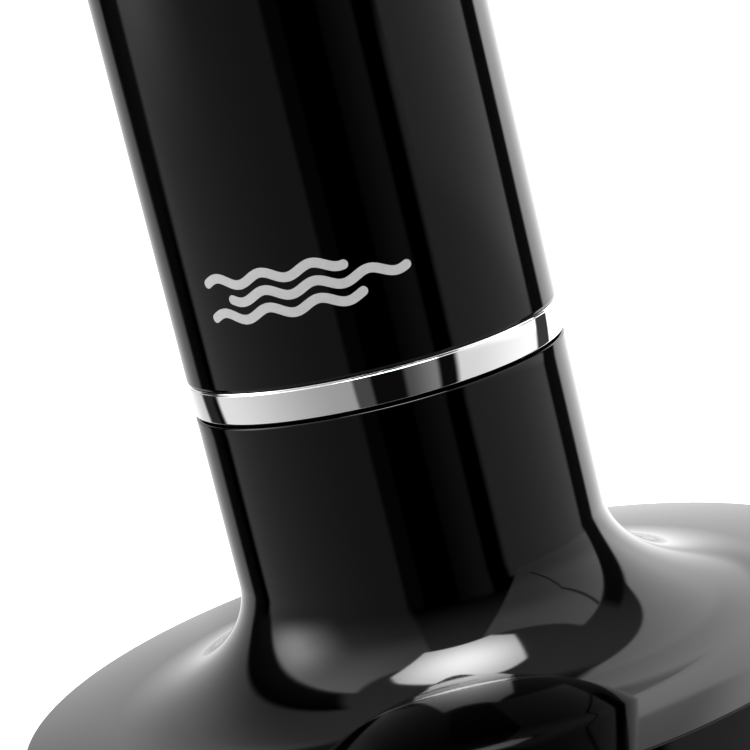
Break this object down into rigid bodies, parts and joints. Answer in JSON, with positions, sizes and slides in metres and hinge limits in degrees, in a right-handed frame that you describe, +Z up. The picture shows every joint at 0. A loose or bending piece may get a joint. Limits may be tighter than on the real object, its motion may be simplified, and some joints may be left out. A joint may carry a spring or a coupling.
{
  "type": "oscillating tower fan",
  "caption": "Slim round column fan in gloss black that swings on a wide trumpet-shaped foot, with a bright ring at the joint.",
  "frame": {"origin": "on the floor, under the axis of the column", "axes": "+Z up along the column's axis; the front, with the outlet grille and display, faces -Y"},
  "size_m": [0.296, 0.296, 1.016],
  "materials": {
    "gloss_black": "piano-black, mirror gloss",
    "satin_black": "fine satin grain",
    "chrome": "bright plated",
    "steel": "zinc plated",
    "nylon": "natural nylon",
    "rubber": "matte",
    "smoked_panel": "smoked acrylic",
    "circuit_board": "solder-masked board",
    "print": "pad-printed light grey ink"
  },
  "bodies": {
    "base": {"base_cover": "gloss_black", "base_plate": "satin_black", "ballast_ring": "steel", "cord_gland": "rubber", "foot_1": "rubber", "foot_2": "rubber", "foot_3": "rubber", "foot_4": "rubber", "foot_5": "rubber", "base_plate_screw_1": "steel", "base_plate_screw_2": "steel", "base_plate_screw_3": "steel", "base_plate_screw_4": "steel", "neck_bulkhead": "satin_black", "spindle": "steel", "fixed_gear": "nylon", "thrust_washer": "nylon"},
    "column": {"turntable": "satin_black", "spindle_collar": "steel", "swing_motor": "steel", "chrome_ring": "chrome", "lower_housing": "gloss_black", "motor_stator": "steel", "motor_lower_bell": "satin_black", "motor_upper_bell": "satin_black", "motor_plate": "steel", "motor_rubber_mount_1": "rubber", "motor_rubber_mount_2": "rubber", "motor_rubber_mount_3": "rubber", "duct_floor": "satin_black", "top_bush": "rubber", "top_bearing_plate": "satin_black", "scroll_wall": "satin_black", "scroll_tongue": "satin_black", "front_shell": "gloss_black", "rear_shell": "gloss_black", "front_grille": "satin_black", "rear_grille": "satin_black", "shell_screw_1": "steel", "shell_screw_2": "steel", "shell_screw_3": "steel", "shell_screw_4": "steel", "head_housing": "gloss_black", "hand_grip": "satin_black", "display_window": "smoked_panel", "display_board": "circuit_board", "top_cap": "gloss_black", "control_panel": "smoked_panel", "control_board": "circuit_board"},
    "blower": {"motor_rotor": "steel", "wheel_lower_hub": "rubber", "crossflow_wheel": "satin_black", "wheel_top_axle": "steel"},
    "pinion": {"swing_pinion": "nylon"},
    "button_power": {"button_power": "satin_black"},
    "button_speed": {"button_speed": "satin_black"},
    "button_mode": {"button_mode": "satin_black"},
    "button_timer": {"button_timer": "satin_black"},
    "button_swing": {"button_swing": "satin_black"}
  },
  "joints": [
    {"name": "column_swing", "type": "hinge", "parent": "base", "child": "column", "pos_m": [0, 0, 0.121], "axis": [0, 0, 1], "range_deg": [-40, 40]},
    {"name": "blower_spin", "type": "hinge", "parent": "column", "child": "blower", "pos_m": [0, 0, 0.58], "axis": [0, 0, 1], "continuous": true},
    {"name": "pinion_turn", "type": "hinge", "parent": "column", "child": "pinion", "pos_m": [0.033, 0, 0.118], "axis": [0, 0, 1], "range_deg": [-110, 110]},
    {"name": "power_press", "type": "slide", "parent": "column", "child": "button_power", "axis": [0, 0, -1], "range_m": [0, 0.0012], "stiffness_N_per_m": 600, "springref_m": -0.0005},
    {"name": "speed_press", "type": "slide", "parent": "column", "child": "button_speed", "axis": [0, 0, -1], "range_m": [0, 0.0012], "stiffness_N_per_m": 600, "springref_m": -0.0005},
    {"name": "mode_press", "type": "slide", "parent": "column", "child": "button_mode", "axis": [0, 0, -1], "range_m": [0, 0.0012], "stiffness_N_per_m": 600, "springref_m": -0.0005},
    {"name": "timer_press", "type": "slide", "parent": "column", "child": "button_timer", "axis": [0, 0, -1], "range_m": [0, 0.0012], "stiffness_N_per_m": 600, "springref_m": -0.0005},
    {"name": "swing_press", "type": "slide", "parent": "column", "child": "button_swing", "axis": [0, 0, -1], "range_m": [0, 0.0012], "stiffness_N_per_m": 600, "springref_m": -0.0005}
  ],
  "couplings": [
    {"joint": "pinion_turn", "follows": "column_swing", "ratio": 2.6667}
  ]
}
